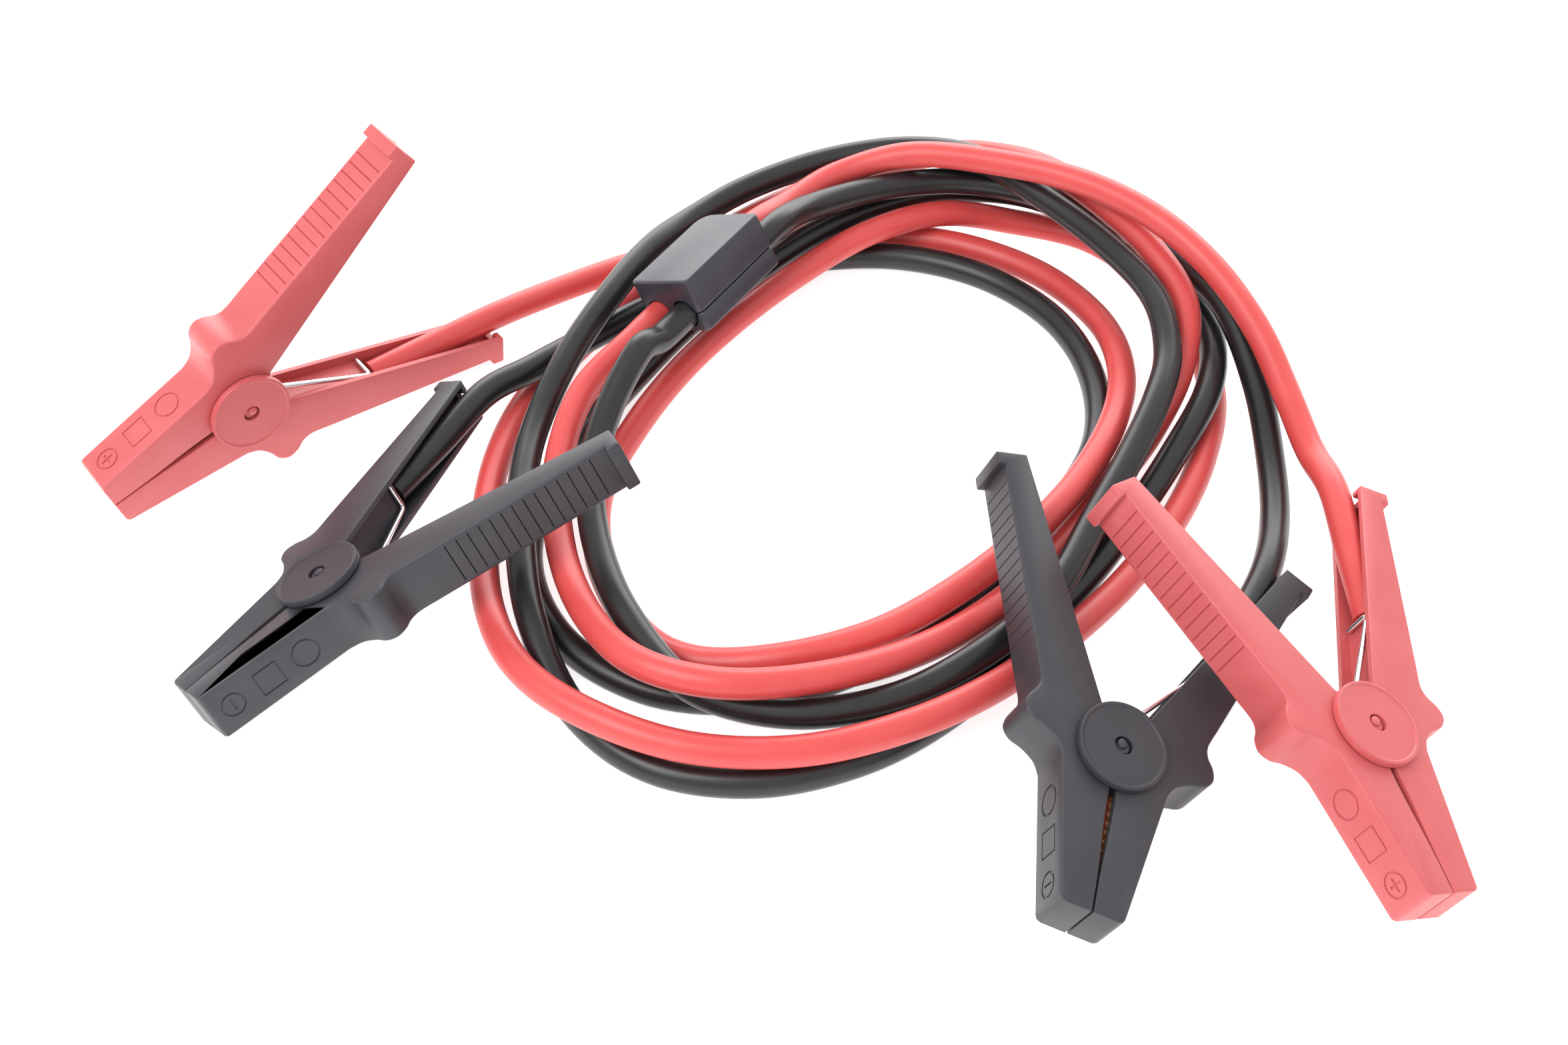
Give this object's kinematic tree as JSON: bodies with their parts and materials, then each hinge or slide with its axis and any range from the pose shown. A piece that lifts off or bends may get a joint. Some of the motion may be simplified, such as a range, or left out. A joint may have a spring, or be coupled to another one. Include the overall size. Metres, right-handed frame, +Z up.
{
  "type": "car jumper cable set",
  "caption": "Car jumper cable set: two thick copper cables looped into a loose coil, red and black spring clamps at their ends, and a surge protection box on both cables.",
  "frame": {"origin": "on the floor, under the centre of the bounding box of the four clamps and the box", "axes": "+X to the right along the longest side of the set as laid out, +Y to the back, +Z up from the floor"},
  "size_m": [0.4348, 0.357, 0.1104],
  "materials": {
    "red_plastic": "satin, moulded",
    "black_plastic": "satin, moulded",
    "box_plastic": "satin, moulded",
    "cable_sheath": "smooth soft PVC",
    "bright_steel": "bright zinc",
    "coppered_plate": "copper plated steel sheet"
  },
  "bodies": {
    "set": {"red_left_cable_shell": "red_plastic", "red_left_pivot_pin": "red_plastic", "red_left_torsion_spring": "bright_steel", "red_left_cable_contact": "coppered_plate", "black_left_cable_shell": "black_plastic", "black_left_pivot_pin": "black_plastic", "black_left_torsion_spring": "bright_steel", "black_left_cable_contact": "coppered_plate", "black_right_cable_shell": "black_plastic", "black_right_pivot_pin": "black_plastic", "black_right_torsion_spring": "bright_steel", "black_right_cable_contact": "coppered_plate", "red_right_cable_shell": "red_plastic", "red_right_pivot_pin": "red_plastic", "red_right_torsion_spring": "bright_steel", "red_right_cable_contact": "coppered_plate", "box_lower_housing": "box_plastic", "box_upper_housing": "box_plastic", "red_cable": "cable_sheath", "black_cable": "cable_sheath"},
    "red_left_grip": {"red_left_grip_shell": "red_plastic", "red_left_grip_contact": "coppered_plate"},
    "black_left_grip": {"black_left_grip_shell": "black_plastic", "black_left_grip_contact": "coppered_plate"},
    "black_right_grip": {"black_right_grip_shell": "black_plastic", "black_right_grip_contact": "coppered_plate"},
    "red_right_grip": {"red_right_grip_shell": "red_plastic", "red_right_grip_contact": "coppered_plate"}
  },
  "joints": [
    {"name": "red_left_jaw", "type": "hinge", "parent": "set", "child": "red_left_grip", "pos_m": [-0.1703, 0.0576, 0.0326], "axis": [-0.6188, 0.7854, 0.0152], "range_deg": [0, 30], "stiffness_Nm_per_rad": 1.5, "springref_deg": -57.3, "deforming": ["red_left_torsion_spring"]},
    {"name": "black_left_jaw", "type": "hinge", "parent": "set", "child": "black_left_grip", "pos_m": [-0.1263, -0.0237, 0.0204], "axis": [-0.3915, 0.1632, 0.9056], "range_deg": [0, 30], "stiffness_Nm_per_rad": 1.5, "springref_deg": -57.3, "deforming": ["black_left_torsion_spring"]},
    {"name": "black_right_jaw", "type": "hinge", "parent": "set", "child": "black_right_grip", "pos_m": [0.1116, -0.0885, 0.0203], "axis": [-0.3359, 0.1759, -0.9253], "range_deg": [0, 30], "stiffness_Nm_per_rad": 1.5, "springref_deg": -57.3, "deforming": ["black_right_torsion_spring"]},
    {"name": "red_right_jaw", "type": "hinge", "parent": "set", "child": "red_right_grip", "pos_m": [0.1863, -0.0818, 0.0211], "axis": [-0.3994, 0.0642, -0.9145], "range_deg": [0, 30], "stiffness_Nm_per_rad": 1.5, "springref_deg": -57.3, "deforming": ["red_right_torsion_spring"]}
  ]
}
